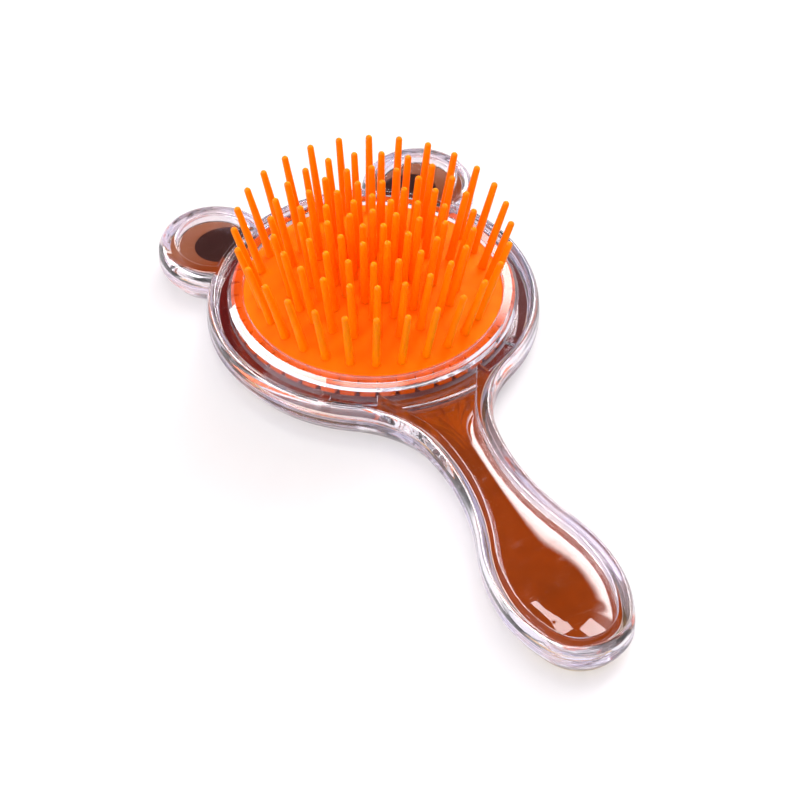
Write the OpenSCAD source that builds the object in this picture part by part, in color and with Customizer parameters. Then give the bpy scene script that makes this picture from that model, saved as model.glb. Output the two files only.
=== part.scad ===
// Cushion hairbrush with a clear two-part housing, a printed card inside and a mirror on the back.
// It rests on its back at Z = 0, its pins point up and its handle points to -Y.
// Plan sizes are counted from the middle of the head, heights from the rest face.

/* [Head] */
// Radius of the round opening that the cushion shows through
opening_r = 30; // [28:0.5:32]
// Width of the collar's top round the opening
collar_w = 3.6; // [3.4:0.1:4.4]
// Wall of the collar outside the cushion's flange
collar_wall = 1; // [0.8:0.1:1.2]
// Height of the collar above the rim
collar_rise = 2.6; // [2.2:0.1:3.4]
// Thickness of the collar's lip over the cushion's flange
lip_t = 1.4; // [1:0.1:1.6]
// Width of the open channel round the collar
channel_w = 2.7; // [2:0.1:3.6]
// Width of the housing outside the channel
head_rim_w = 2.2; // [2.1:0.1:3.2]
// Width of the blunt end of the handle's rim at the collar
rim_end_w = 1.1; // [0.6:0.1:2]
// Angle from the handle's middle to each thin web across the channel
web_angle = 42; // [34:1:60]
// Thickness of a web
web_t = 1.2; // [0.8:0.1:2]
// Width of the low lip between channel and handle window
mouth_lip_w = 1.5; // [1:0.1:2]
// Height of that lip
mouth_lip_h = 1.5; // [0.8:0.1:1.8]

/* [Ears] */
// Radius of each ear's window
ear_window_r = 8.8; // [7.5:0.1:10]
// Width of the rim round an ear's window
ear_rim_w = 4.6; // [4:0.1:5.6]
// Width of the rounding of an ear's front edge
ear_round = 2.2; // [1.4:0.1:2.6]
// Distance from the head's edge out to an ear's middle
ear_reach = 3.3; // [2:0.1:5]
// Direction of the right ear, counted from +X
ear_angle = 51.5; // [46:0.5:58]

/* [Handle] */
// Distance from the head's edge to the narrowest place
neck_distance = 21.5; // [20:0.5:25]
// Width at the narrowest place
neck_w = 15.2; // [14:0.2:18]
// Distance from the narrowest place to the widest
belly_distance = 39; // [36:1:44]
// Width at the widest place
belly_w = 28.8; // [27:0.2:31]
// Distance from the widest place to the handle's end
tail_length = 22; // [20:0.5:24]
// Radius of the side between head and neck
flare_r = 24; // [20:1:28]
// Radius of the side round the widest place
belly_r = 50; // [44:1:56]
// Radius of the side between widest place and end
tail_r = 34; // [31:1:38]
// Width of the rim round the handle's window
handle_rim_w = 4; // [3.4:0.1:4.8]
// Angle between the handle's axis and the straight end of the window's side
mouth_flare = 26; // [22:1:30]
// Swell of the window's face along its middle
window_crown = 0.9; // [0.4:0.1:1.2]

/* [Housing] */
// Height of the rim above the rest face
rim_top = 9.5; // [9:0.1:11]
// Height of the parting line between the two shells
parting_z = 4.4; // [3.8:0.1:4.6]
// Height of the upright side above the parting line
upright_h = 1.9; // [1.2:0.1:2.6]
// Width of the rounding of the front edge
front_round = 1.4; // [1:0.1:1.5]
// Depth of the windows and the channel below the rim
window_depth = 2.1; // [1.6:0.1:2.3]
// Thickness of the front shell's clear plate
plate_t = 1.7; // [1.4:0.1:1.8]
// How far the back edge tucks in under the side
back_tuck = 2.6; // [1.6:0.1:3]
// Side wall of the front shell at the parting line
side_wall = 1.8; // [1.5:0.1:2]
// Width of the tongue that lines up the two shells
tongue_w = 0.8; // [0.6:0.1:1]
// Height of that tongue
tongue_h = 0.8; // [0.5:0.1:0.9]
// Depth of the windows in the back of handle and ears
back_window_depth = 1.1; // [0.6:0.1:1.6]
// Width of the rest face round the windows in the back
rest_w = 2.6; // [2:0.1:3]

/* [Cushion] */
// Radius of the domed face
dome_r = 91; // [84:1:105]
// Height of the dome's crown above the collar
crown_rise = 3.8; // [3.6:0.1:4.8]
// Thickness of the rubber
cushion_t = 1.3; // [1:0.1:1.5]
// Height of the flange under the collar's lip
flange_h = 2.4; // [2:0.1:2.6]
// Width of the flange
flange_w = 4.2; // [3.8:0.1:4.4]
// Number of notches in the flange's edge
notch_count = 45; // [30:1:54]
// Width of a notch at the flange's edge
notch_w = 0.9; // [0.6:0.1:1.5]
// Depth of a notch
notch_depth = 1; // [0.6:0.1:1.4]
// Radius of the vent hole
vent_r = 0.6; // [0.4:0.1:0.8]

/* [Pins] */
// Length of a pin above the cushion
pin_length = 19.6; // [14:0.2:23]
// Radius of a pin's foot on the cushion
pin_foot_r = 1.1; // [1:0.05:1.2]
// Radius of a pin's shank just above its foot
pin_shank_r = 0.98; // [0.8:0.02:1]
// Radius of a pin at its round tip
pin_tip_r = 0.66; // [0.56:0.02:0.76]
// Radius of a pin where it passes through the rubber
pin_neck_r = 0.8; // [0.6:0.05:0.9]
// Radius of a pin's head under the rubber
pin_head_r = 1.4; // [1.2:0.05:1.5]
// Thickness of that head
pin_head_t = 0.6; // [0.4:0.1:0.8]
// Number of pins in each row, from the outside in
row_pins = [28, 23, 18, 12, 7, 1];
// Distance from the opening's edge to the outer row
row_edge = 3.9; // [3.4:0.1:4.6]
// Radius of each row as a share of the outer row's
row_share = [1, 0.735, 0.529, 0.344, 0.172, 0];
// Turn of each row about the middle
row_turn = [3.5, -1.5, 7, -5.5, 16, 0];

/* [Inserts and mirror] */
// Thickness of the printed card
card_t = 0.6; // [0.3:0.05:0.65]
// Thickness of the liner behind the card
liner_t = 0.4; // [0.2:0.05:0.45]
// Thickness of the retainer's floor under the cushion
retainer_floor = 1; // [0.8:0.1:1.4]
// Distance from the head's edge to the mirror
mirror_edge = 7; // [6.5:0.5:10]
// Thickness of the mirror
mirror_t = 1.2; // [0.9:0.1:1.3]
// Width of the bevel round the mirror's face
mirror_bevel = 0.5; // [0.2:0.1:1]
// Thickness of the foam tape behind the mirror
tape_t = 0.3; // [0.2:0.05:0.4]
// How far the mirror's face stays above the rest face
mirror_recess = 0.3; // [0.2:0.1:0.5]
// Clearance round pieces that drop into a pocket
fit_gap = 0.2; // [0.1:0.05:0.3]

/* [Hidden] */
$fa = 4;
$fs = 0.5;

// colours
clear = [0.86, 0.84, 0.9, 0.35];
orange = [1, 0.45, 0.02];

// plan sizes, from the opening outwards
collar_r = opening_r + collar_w;
bore_r = collar_r - collar_wall;
channel_r = collar_r + channel_w;
head_r = channel_r + head_rim_w;
mouth_lip_r = channel_r + mouth_lip_w;
mirror_r = head_r - mirror_edge;
row_r = [for (share = row_share) share * (opening_r - row_edge)];
ear_r = ear_window_r + ear_rim_w;
ear_c = (head_r + ear_reach) * [cos(ear_angle), sin(ear_angle)];
neck_y = head_r + neck_distance;
belly_y = neck_y + belly_distance;
end_y = belly_y + tail_length;

// circles of the handle's right side, each tangent to the next
waist_run = neck_w / 2 - belly_w / 2 + belly_r;
waist_r = (waist_run * waist_run + belly_distance * belly_distance - belly_r * belly_r)
    / (belly_w - neck_w);
waist_c = [neck_w / 2 + waist_r, -neck_y];
belly_c = [belly_w / 2 - belly_r, -belly_y];
tail_c = [belly_w / 2 - tail_r, -belly_y];
end_r = (tail_r * tail_r - tail_c.x * tail_c.x - tail_length * tail_length)
    / (2 * (tail_r - tail_length));
end_c = [0, end_r - end_y];
flare_c = meet(head_r + flare_r, waist_c, waist_r - flare_r);

// direction from the flare's middle to where the window's side runs straight on
window_turn = 180 - mouth_flare;
// half of the sector in which the handle's rim and window run up to the collar
mouth_angle = 90 + angle_of(window_side(handle_rim_w, collar_r)) + asin(rim_end_w / collar_r);

// heights
window_z = rim_top - window_depth;
plate_z = window_z - plate_t;
collar_top = rim_top + collar_rise;
lip_z = collar_top - lip_t;
flange_z = lip_z - flange_h;
dome_z = collar_top + crown_rise - dome_r;
shoulder_z = parting_z + upright_h;
mirror_back_z = mirror_recess + mirror_t;
pocket_z = mirror_back_z + tape_t;

// clearances and fine sizes
seat_gap = 0.05;
tongue_gap = 0.1;
inner_round = 0.5;
collar_edge = 0.4;
sink = 0.5;
over = 1;
tongue_inset = side_wall + tongue_gap;
space_inset = tongue_inset + tongue_w;
card_z = plate_z - seat_gap - card_t;
flange_r = bore_r - fit_gap;
pocket_r = mirror_r + fit_gap;
back_inset = back_tuck + rest_w;
hole_gap = 0.05;
edge_steps = [0, 0.4, 0.65, 0.85, 0.95, 1];
tuck_steps = [1, 0.88, 0.7, 0.45, 0.2, 0];
tuck_power = 1.3;
vent_at = [(row_r[0] + row_r[1]) / 2, -119];
vent_ring_r = vent_r + 0.7;
vent_ring_depth = 0.25;
pin_cone_h = 1.6;
arc_step = 4;
crown_steps = [-1, -0.8, -0.45, 0, 0.45, 0.8, 1];
crown_run = 16;
crown_end = 9;
crown_sink = 0.05;

// the middle of the brush's box lies on the axis
centre_y = (ear_c.y + ear_r - end_y) / 2;

function angle_of(v) = atan2(v.y, v.x);
// where a circle about the middle meets another one, on the side nearer the handle's axis
function meet(r1, c, r2) =
    let (d = norm(c), along = (r1 * r1 - r2 * r2 + d * d) / (2 * d),
        across = sqrt(r1 * r1 - along * along), u = c / d)
    along * u - across * [-u.y, u.x];
function arc(c, r, a0, a1) =
    let (n = max(3, ceil(abs(a1 - a0) / arc_step)))
    [for (i = [0:n - 1]) let (a = a0 + (a1 - a0) * i / n) c + r * [cos(a), sin(a)]];
// right side of the handle from angle a of the flare to the handle's end, set in by d
function handle_side(d, a) = concat(
    arc(flare_c, flare_r + d, a, angle_of(flare_c - waist_c)),
    arc(waist_c, waist_r + d, angle_of(flare_c - waist_c), angle_of(belly_c - waist_c) + 360),
    arc(belly_c, belly_r - d, angle_of(waist_c - belly_c), 0),
    arc(tail_c, tail_r - d, 0, angle_of(end_c - tail_c)),
    arc(end_c, end_r - d, angle_of(end_c - tail_c), -90));
// closed ring from a right half that starts on the axis
function both_halves(half, d) =
    concat(half, [[0, d - end_y]],
        [for (i = [len(half) - 1:-1:1]) [-half[i].x, half[i].y]]);
function outline(d) = both_halves(concat(
    arc([0, 0], head_r - d, 90, angle_of(flare_c)), handle_side(d, angle_of(flare_c) + 180)), d);
// end of the window's straight side on a circle about the head's middle
function window_side(d, r) =
    let (start = flare_c + (flare_r + d) * [cos(window_turn), sin(window_turn)],
        way = [sin(mouth_flare), cos(mouth_flare)], back = -start * way)
    start + way * (back - sqrt(back * back - start * start + r * r));
// right half of the window, which starts inside the collar
function window_half(d) = concat(
    [[0, -opening_r], window_side(d, collar_r - sink)],
    handle_side(d, window_turn));
// how far a rounded edge is set in at the share t of its height
function rounding(w, t) = w * (1 - sqrt(1 - t * t));
// [inset, height] up the front edge and down the back edge
front_edge = [for (t = edge_steps)
    [rounding(front_round, t), shoulder_z + (rim_top - shoulder_z) * t]];
back_edge = [for (t = tuck_steps) [back_tuck * pow(t, tuck_power), parting_z * (1 - t)]];

module place() translate([0, -centre_y, 0]) children();
module both_sides() {
    children();
    mirror([1, 0, 0]) children();
}
module at_ears() both_sides() translate([ear_c.x, ear_c.y, 0]) children();
// turned about the middle to an angle that is counted from the handle's axis
module from_handle(a) rotate([0, 0, a - 90]) children();
module slab(z0, z1) translate([0, 0, z0]) linear_extrude(z1 - z0) children();
// slab in the plan of head, handle and ears, set in by d
module plan_slab(z0, z1, d) {
    slab(z0, z1) polygon(outline(d));
    at_ears() slab(z0, z1) circle(r = ear_r - d);
}

// solid through symmetric rings: each level is [ring, height]
module loft(levels) {
    n = len(levels[0][0]);
    h = n / 2;
    top = (len(levels) - 1) * n;
    points = [for (l = levels) for (p = l[0]) [p.x, p.y, l[1]]];
    strips = concat([[0, 1, n - 1]],
        [for (i = [1:h - 2]) each [[i, i + 1, n - i - 1], [i, n - i - 1, n - i]]],
        [[h - 1, h, h + 1]]);
    sides = [for (j = [0:len(levels) - 2]) for (i = [0:n - 1])
        let (a = j * n + i, b = j * n + (i + 1) % n) each [[a, b, b + n], [a, b + n, a + n]]];
    polyhedron(points, concat(sides, [for (s = strips) [s[2], s[1], s[0]]],
        [for (s = strips) [for (i = s) i + top]]));
}

// opening between collar and rim, down to the channel's floor
module channel_cut() {
    from_handle(mouth_angle) rotate_extrude(angle = 360 - 2 * mouth_angle)
        polygon([[0, window_z], [channel_r, window_z],
            [channel_r, rim_top - inner_round], [channel_r + inner_round, rim_top],
            [channel_r + inner_round, rim_top + over], [0, rim_top + over]]);
}

module handle_window_cut() {
    loft([for (l = [[handle_rim_w, window_z], [handle_rim_w, rim_top - inner_round],
            [handle_rim_w - inner_round, rim_top],
            [handle_rim_w - inner_round, rim_top + over]])
        [both_halves(window_half(l[0]), l[0]), l[1]]]);
}

// crowned face of the handle's window, which starts below the collar and fades out at both ends
module window_face() {
    side = [for (p = window_half(handle_rim_w - sink)) if (p.y < -head_r) p];
    last = end_y - handle_rim_w + sink;
    m = len(crown_steps);
    n = m + 2;
    // each row runs across the top from left to right and back along the bottom
    rows = [for (p = side)
        let (rise = min(1, (-p.y - head_r) / crown_run),
            fall = max(0, (-p.y - last + crown_end) / crown_end),
            swell = window_crown * rise * rise * (3 - 2 * rise) * (1 - fall * fall))
        concat([for (u = crown_steps)
                [u * p.x, p.y, window_z - crown_sink + swell * (1 - u * u)]],
            [[p.x, p.y, window_z - sink], [-p.x, p.y, window_z - sink]])];
    end = (len(rows) - 1) * n;
    polyhedron([for (row = rows) each row], concat(
        [for (j = [0:len(rows) - 2]) for (i = [0:n - 1])
            let (a = j * n + i, b = j * n + (i + 1) % n) each [[a, b, b + n], [a, b + n, a + n]]],
        [[m, each [for (i = [m - 1:-1:0]) i], m + 1]],
        [[end + m + 1, each [for (i = [0:m - 1]) end + i], end + m]]));
}

module ear_front() {
    window_edge = [for (t = [1, 0.9, 0.6, 0]) [ear_window_r + rounding(2 * inner_round, t),
        rim_top - 2 * inner_round * (1 - t)]];
    difference() {
        rotate_extrude() polygon(concat([[0, parting_z], [ear_r, parting_z]],
            [for (t = edge_steps) [ear_r - rounding(ear_round, t),
                shoulder_z + (rim_top - shoulder_z) * t]],
            window_edge, [[ear_window_r, window_z], [0, window_z]]));
        // the head's own rim closes the window's inner side
        translate([-ear_c.x, -ear_c.y, 0])
            cylinder(r = head_r - front_round - 0.1, h = 3 * rim_top, center = true);
    }
}

module ear_back() {
    rotate_extrude() polygon(concat([[0, 0]], [for (e = back_edge) [ear_r - e[0], e[1]]],
        [[0, parting_z]]));
}

module collar() {
    rotate_extrude() polygon([[opening_r, lip_z], [opening_r, collar_top - collar_edge / 2],
        [opening_r + collar_edge / 2, collar_top], [collar_r - collar_edge, collar_top],
        [collar_r - collar_edge / 3, collar_top - collar_edge / 3],
        [collar_r, collar_top - collar_edge], [collar_r, plate_z], [bore_r, plate_z],
        [bore_r, lip_z]]);
}

// low bar across the channel from collar to rim
module web(a) {
    from_handle(a) translate([collar_r - sink, -web_t / 2, window_z - sink])
        cube([channel_w + 2 * sink, web_t, window_depth / 2 + sink]);
}

module mouth_lip() {
    top = window_z + mouth_lip_h;
    from_handle(-mouth_angle) rotate_extrude(angle = 2 * mouth_angle)
        polygon([[channel_r, window_z - sink], [mouth_lip_r, window_z - sink],
            [mouth_lip_r, top - collar_edge], [mouth_lip_r - collar_edge, top],
            [channel_r + collar_edge / 2, top], [channel_r, top - collar_edge / 2]]);
}

module front_shell() {
    color(clear) place() difference() {
        union() {
            difference() {
                loft([for (e = concat([[0, parting_z]], front_edge)) [outline(e[0]), e[1]]]);
                channel_cut();
                handle_window_cut();
            }
            window_face();
            at_ears() ear_front();
            collar();
            for (s = [-1, 1]) web(s * web_angle);
            mouth_lip();
        }
        // seat of the cushion's flange and of the retainer
        slab(parting_z - over, lip_z) circle(r = bore_r);
        // space for the inserts, and a rebate round it for the tongue
        plan_slab(parting_z - over, plate_z, space_inset);
        plan_slab(parting_z - over, parting_z + tongue_h + tongue_gap, side_wall);
    }
}

module back_shell() {
    color(clear) place() difference() {
        union() {
            loft([for (e = back_edge) [outline(e[0]), e[1]]]);
            at_ears() ear_back();
            plan_slab(parting_z - sink, parting_z + tongue_h, tongue_inset);
        }
        plan_slab(parting_z, parting_z + over, space_inset);
        slab(-over, pocket_z) circle(r = pocket_r);
        difference() {
            plan_slab(-over, back_window_depth, back_inset);
            slab(-2 * over, parting_z) circle(r = pocket_r + rest_w);
        }
    }
}

// turned and tilted to the pin number i of a row, with the dome's middle as origin
module at_pin(row, i) {
    rotate([0, 0, row_turn[row] + i * 360 / row_pins[row]])
        rotate([0, asin(row_r[row] / dome_r), 0]) children();
}
module on_dome() translate([0, 0, dome_z]) children();

module cushion_pad() {
    inner_r = dome_r - cushion_t;
    // half width of the pointed notch's cutter outside the flange
    notch_half = notch_w / 2 * (notch_depth + over) / notch_depth;
    color(orange) place() difference() {
        union() {
            difference() {
                intersection() {
                    on_dome() sphere(r = dome_r);
                    slab(flange_z, collar_top + 2 * crown_rise) circle(r = opening_r - fit_gap);
                }
                on_dome() sphere(r = inner_r);
            }
            slab(flange_z, lip_z) difference() {
                circle(r = flange_r);
                circle(r = flange_r - flange_w);
                for (i = [0:notch_count - 1]) rotate(i * 360 / notch_count) polygon([
                    [flange_r - notch_depth, 0], [flange_r + over, -notch_half],
                    [flange_r + over, notch_half]]);
            }
        }
        on_dome() for (row = [0:len(row_pins) - 1]) for (i = [0:row_pins[row] - 1])
            at_pin(row, i) translate([0, 0, inner_r - over])
                cylinder(r = pin_neck_r + hole_gap, h = cushion_t + 2 * over);
        on_dome() rotate([0, 0, vent_at[1]]) rotate([0, asin(vent_at[0] / dome_r), 0]) {
            translate([0, 0, inner_r - over]) cylinder(r = vent_r, h = cushion_t + 2 * over);
            translate([0, 0, dome_r - vent_ring_depth]) cylinder(r = vent_ring_r, h = over);
        }
    }
}

// pins of one row, each with a head under the rubber and a round tip
module pin_row(row) {
    head_z = dome_r - cushion_t - seat_gap;
    foot_z = dome_r + seat_gap;
    tip_z = dome_r + pin_length - pin_tip_r;
    color(orange) place() on_dome() for (i = [0:row_pins[row] - 1]) at_pin(row, i)
        rotate_extrude() polygon(concat([[0, head_z - pin_head_t], [pin_head_r, head_z - pin_head_t],
            [pin_head_r, head_z], [pin_neck_r, head_z], [pin_neck_r, foot_z], [pin_foot_r, foot_z],
            [pin_shank_r, foot_z + pin_cone_h]],
            [for (a = [0:18:72]) [pin_tip_r * cos(a), tip_z + pin_tip_r * sin(a)]],
            [[0, tip_z + pin_tip_r]]));
}
module outer_pin_row() pin_row(0);
module second_pin_row() pin_row(1);
module third_pin_row() pin_row(2);
module fourth_pin_row() pin_row(3);
module inner_pin_row() pin_row(4);
module centre_pin() pin_row(5);

// shallow cup that clamps the flange under the lip and closes the air space
module pad_retainer() {
    color([0.35, 0.1, 0.07]) place() difference() {
        slab(plate_z, flange_z) circle(r = flange_r);
        slab(plate_z + retainer_floor, flange_z + over) circle(r = flange_r - flange_w);
    }
}

module printed_card() {
    color([0.5, 0.25, 0.1]) place() plan_slab(card_z, card_z + card_t, space_inset + fit_gap);
}

module back_liner() {
    bottom = parting_z + seat_gap;
    color([0.95, 0.85, 0.55]) place()
        plan_slab(bottom, bottom + liner_t, space_inset + fit_gap);
}

module mirror_glass() {
    color([0.8, 0.85, 0.88]) place() rotate_extrude() polygon([[0, mirror_recess],
        [mirror_r - mirror_bevel, mirror_recess],
        [mirror_r, mirror_recess + mirror_bevel / 2], [mirror_r, mirror_back_z],
        [0, mirror_back_z]]);
}

module mirror_tape() {
    color([0.95, 0.95, 0.93]) place()
        slab(mirror_back_z, pocket_z) circle(r = mirror_r - 3 * mirror_bevel);
}

front_shell();
back_shell();
cushion_pad();
pad_retainer();
printed_card();
back_liner();
mirror_glass();
mirror_tape();
outer_pin_row();
second_pin_row();
third_pin_row();
fourth_pin_row();
inner_pin_row();
centre_pin();
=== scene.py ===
from math import asin, atan2, ceil, cos, degrees, hypot, pi, radians, sin, sqrt, tan

import bmesh
import bpy
from mathutils import Matrix, Vector


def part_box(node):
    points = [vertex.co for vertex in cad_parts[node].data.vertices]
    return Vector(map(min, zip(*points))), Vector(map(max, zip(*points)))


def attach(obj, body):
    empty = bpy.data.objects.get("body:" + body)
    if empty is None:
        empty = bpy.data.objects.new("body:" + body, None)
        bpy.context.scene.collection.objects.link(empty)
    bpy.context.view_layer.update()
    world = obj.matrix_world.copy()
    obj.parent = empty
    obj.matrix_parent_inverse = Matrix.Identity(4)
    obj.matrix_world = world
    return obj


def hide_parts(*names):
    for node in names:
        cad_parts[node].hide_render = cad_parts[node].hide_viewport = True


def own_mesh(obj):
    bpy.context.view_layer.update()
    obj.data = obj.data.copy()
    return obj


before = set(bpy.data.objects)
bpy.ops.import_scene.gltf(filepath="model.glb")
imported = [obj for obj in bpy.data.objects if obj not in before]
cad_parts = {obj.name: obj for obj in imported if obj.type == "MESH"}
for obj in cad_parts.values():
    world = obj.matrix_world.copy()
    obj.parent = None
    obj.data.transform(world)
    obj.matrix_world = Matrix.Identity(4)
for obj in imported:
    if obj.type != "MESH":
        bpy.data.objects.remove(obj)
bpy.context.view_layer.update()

# All sizes below are millimetres counted from the middle of the head, heights from the rest face.
mm = 0.001
lowPin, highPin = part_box("centre_pin")
headY = (lowPin.y + highPin.y) / 2 / mm
fine = 1.0  # share of the full mesh resolution
samePoint = 1e-7  # points nearer than this, in metres, are one


# plan of the housing: circles that are tangent to each other
plan = {
    "openingR": 30.0, "collarW": 3.6, "channelW": 2.7, "headRimW": 2.2,
    "earWindowR": 8.8, "earRimW": 4.6, "earReach": 3.3, "earAngle": 51.5,
    "neckDistance": 21.5, "neckW": 15.2, "bellyDistance": 39.0, "bellyW": 28.8,
    "tailLength": 22.0, "flareR": 24.0, "bellyR": 50.0, "tailR": 34.0,
    "handleRimW": 4.0, "mouthFlare": 26.0, "rimEndW": 1.1,
    "windowTuck": 0.5, "windowTip": 3.0,  # how far the handle's window runs in under the collar
    "step": 0.9, "fewest": 24,  # length of a mesh edge, and the fewest edges round a circle
}


def heading(turn):
    # unit vector at an angle in degrees from +X
    return Vector((cos(radians(turn)), sin(radians(turn))))


def angleOf(v):
    return degrees(atan2(v.y, v.x))


def meet(r1, centre, r2):
    # where a circle about the middle meets another one, on the side nearer the handle's axis
    d = centre.length
    along = (r1 * r1 - r2 * r2 + d * d) / (2 * d)
    across = sqrt(r1 * r1 - along * along)
    u = centre / d
    return along * u - across * Vector((-u.y, u.x))


openingR = plan["openingR"]
collarR = openingR + plan["collarW"]
channelR = collarR + plan["channelW"]
headR = channelR + plan["headRimW"]
earR = plan["earWindowR"] + plan["earRimW"]
earMiddle = (headR + plan["earReach"]) * heading(plan["earAngle"])
neckY = headR + plan["neckDistance"]
bellyY = neckY + plan["bellyDistance"]
endY = bellyY + plan["tailLength"]
waistRun = plan["neckW"] / 2 - plan["bellyW"] / 2 + plan["bellyR"]
waistR = ((waistRun ** 2 + plan["bellyDistance"] ** 2 - plan["bellyR"] ** 2)
          / (plan["bellyW"] - plan["neckW"]))
waistC = Vector((plan["neckW"] / 2 + waistR, -neckY))
bellyC = Vector((plan["bellyW"] / 2 - plan["bellyR"], -bellyY))
tailC = Vector((plan["bellyW"] / 2 - plan["tailR"], -bellyY))
endR = ((plan["tailR"] ** 2 - tailC.x ** 2 - plan["tailLength"] ** 2)
        / (2 * (plan["tailR"] - plan["tailLength"])))
endC = Vector((0, endR - endY))
flareC = meet(headR + plan["flareR"], waistC, waistR - plan["flareR"])
mouthTurn = 180 - plan["mouthFlare"]


def flareEnd(d):
    # where the flare's circle gives way to the straight side of the window's mouth
    return flareC + (plan["flareR"] + d) * heading(mouthTurn)


def windowSide(d, r):
    # far end of that straight side, on a circle about the head's middle
    start = flareEnd(d)
    way = Vector((sin(radians(plan["mouthFlare"])), cos(radians(plan["mouthFlare"]))))
    run = -start.dot(way)
    return start + way * (run - sqrt(run * run - start.length_squared + r * r))


# half the angle that the mouth takes out of the head's rim
mouthAngle = (90 + angleOf(windowSide(plan["handleRimW"], collarR))
              + degrees(asin(plan["rimEndW"] / collarR)))


def arc(centre, r, a0, a1, rest):
    # rest is the radius before the outline is set in, so that each inset has as many points
    n = max(4, ceil(abs(radians(a1 - a0)) * rest / plan["step"] * fine))
    return [centre + r * heading(a0 + (a1 - a0) * i / n) for i in range(n)]


def halfOutline(d):
    # right half from the head's top to the handle's end, set in by d
    fromFlare = angleOf(flareC - waistC)
    toEnd = angleOf(endC - tailC)
    return (
        arc(Vector((0, 0)), headR - d, 90, angleOf(flareC), headR)
        + arc(flareC, plan["flareR"] + d, angleOf(flareC) + 180, fromFlare, plan["flareR"])
        + arc(waistC, waistR + d, fromFlare, angleOf(bellyC - waistC) + 360, waistR)
        + arc(bellyC, plan["bellyR"] - d, angleOf(waistC - bellyC), 0, plan["bellyR"])
        + arc(tailC, plan["tailR"] - d, 0, toEnd, plan["tailR"])
        + arc(endC, endR - d, toEnd, -90, endR)
    )


def bothHalves(half, d):
    return half + [Vector((0, d - endY))] + [Vector((-p.x, p.y)) for p in reversed(half[1:])]


def outline(d):
    return bothHalves(halfOutline(d), d)


def windowOutline(d, steps=8):
    # the handle's window runs up to the collar between the two ends of the rim
    whole = halfOutline(d)
    onFlare = plan["flareR"] + d + 0.01
    first = next(i for i, p in enumerate(whole)
                 if (p - flareC).length < onFlare and angleOf(p - flareC) > mouthTurn)
    far = windowSide(d, collarR - plan["windowTuck"])
    side = [far.lerp(flareEnd(d), k / steps) for k in range(steps + 1)]
    return bothHalves([Vector((0, plan["windowTip"] - collarR))] + side + whole[first:], d)


# mesh tools
def place(x, y, z):
    # millimetres about the head's middle to metres in the shared frame
    return Vector((x, y + headY, z)) * mm


def rounded(corners, turn=12):
    # profile with its corners rounded in steps of turn degrees: each corner is (across, height)
    # or (across, height, radius)
    out = []
    n = len(corners)
    for i, c in enumerate(corners):
        p = Vector(c[:2])
        r = c[2] if len(c) > 2 else 0
        if r <= 0:
            out.append(p)
            continue
        a = (Vector(corners[i - 1][:2]) - p).normalized()
        b = (Vector(corners[(i + 1) % n][:2]) - p).normalized()
        half = a.angle(b) / 2
        middle = p + (a + b).normalized() * (r / sin(half))
        start = p + a * (r / tan(half))
        end = p + b * (r / tan(half))
        a0 = atan2(start.y - middle.y, start.x - middle.x)
        sweep = (atan2(end.y - middle.y, end.x - middle.x) - a0 + pi) % (2 * pi) - pi
        steps = max(2, ceil(abs(degrees(sweep)) / turn))
        for k in range(steps + 1):
            at = a0 + sweep * k / steps
            out.append(middle + r * Vector((cos(at), sin(at))))
    return out


def toObject(name, bm):
    bmesh.ops.remove_doubles(bm, verts=bm.verts, dist=samePoint)
    bmesh.ops.recalc_face_normals(bm, faces=bm.faces)
    mesh = bpy.data.meshes.new(name)
    bm.to_mesh(mesh)
    bm.free()
    obj = bpy.data.objects.new(name, mesh)
    bpy.context.scene.collection.objects.link(obj)
    return obj


def stitch(bm, rings):
    # a wall of faces between each ring of points and the next
    for low, high in zip(rings, rings[1:]):
        for i in range(len(low)):
            j = (i + 1) % len(low)
            bm.faces.new((low[i], low[j], high[j], high[i]))


def capped(name, bm, rings):
    stitch(bm, rings)
    bm.faces.new(list(reversed(rings[0])))
    bm.faces.new(rings[-1])
    return toObject(name, bm)


def addRevolved(bm, profile, segments, matrix):
    # turns a closed profile of (radius, height) points about Z; points on the axis make no face
    rings = []
    for k in range(segments):
        a = 2 * pi * k / segments
        rings.append([bm.verts.new(matrix @ Vector((p[0] * cos(a), p[0] * sin(a), p[1])))
                      for p in profile])
    n = len(profile)
    for k in range(segments):
        one, two = rings[k], rings[(k + 1) % segments]
        for i in range(n):
            j = (i + 1) % n
            if max(profile[i][0], profile[j][0]) >= 1e-6:
                bm.faces.new((one[i], two[i], two[j], one[j]))
    bmesh.ops.remove_doubles(bm, verts=bm.verts, dist=samePoint)
    bmesh.ops.dissolve_degenerate(bm, edges=bm.edges, dist=samePoint / 10)


def revolved(name, profile, centre=(0, 0)):
    bm = bmesh.new()
    r = max(p[0] for p in profile)
    segments = max(plan["fewest"], ceil(2 * pi * r / plan["step"] * fine))
    move = Matrix.Translation(place(centre[0], centre[1], 0)) @ Matrix.Scale(mm, 4)
    addRevolved(bm, profile, segments, move)
    return toObject(name, bm)


def lofted(name, levels, shape=outline):
    # closed solid through the housing's outline: each level is (inset, height)
    bm = bmesh.new()
    return capped(name, bm, [[bm.verts.new(place(p.x, p.y, z)) for p in shape(d)]
                             for d, z in levels])


def block(name, size, corner, turned, edge):
    # block of (along, across, up) from its corner, turned to an angle from the handle's axis
    bm = bmesh.new()
    bmesh.ops.create_cube(bm, size=1)
    bmesh.ops.scale(bm, vec=Vector(size), verts=bm.verts)
    bmesh.ops.translate(bm, vec=Vector(corner) + Vector(size) / 2, verts=bm.verts)
    upright = [e for e in bm.edges if abs((e.verts[0].co - e.verts[1].co).z) > 1e-6]
    bmesh.ops.bevel(bm, geom=upright, offset=edge, segments=4, profile=0.5, affect="EDGES")
    bm.transform(Matrix.Translation(place(0, 0, 0)) @ Matrix.Scale(mm, 4)
                 @ Matrix.Rotation(radians(turned - 90), 4, "Z"))
    return toObject(name, bm)


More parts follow.
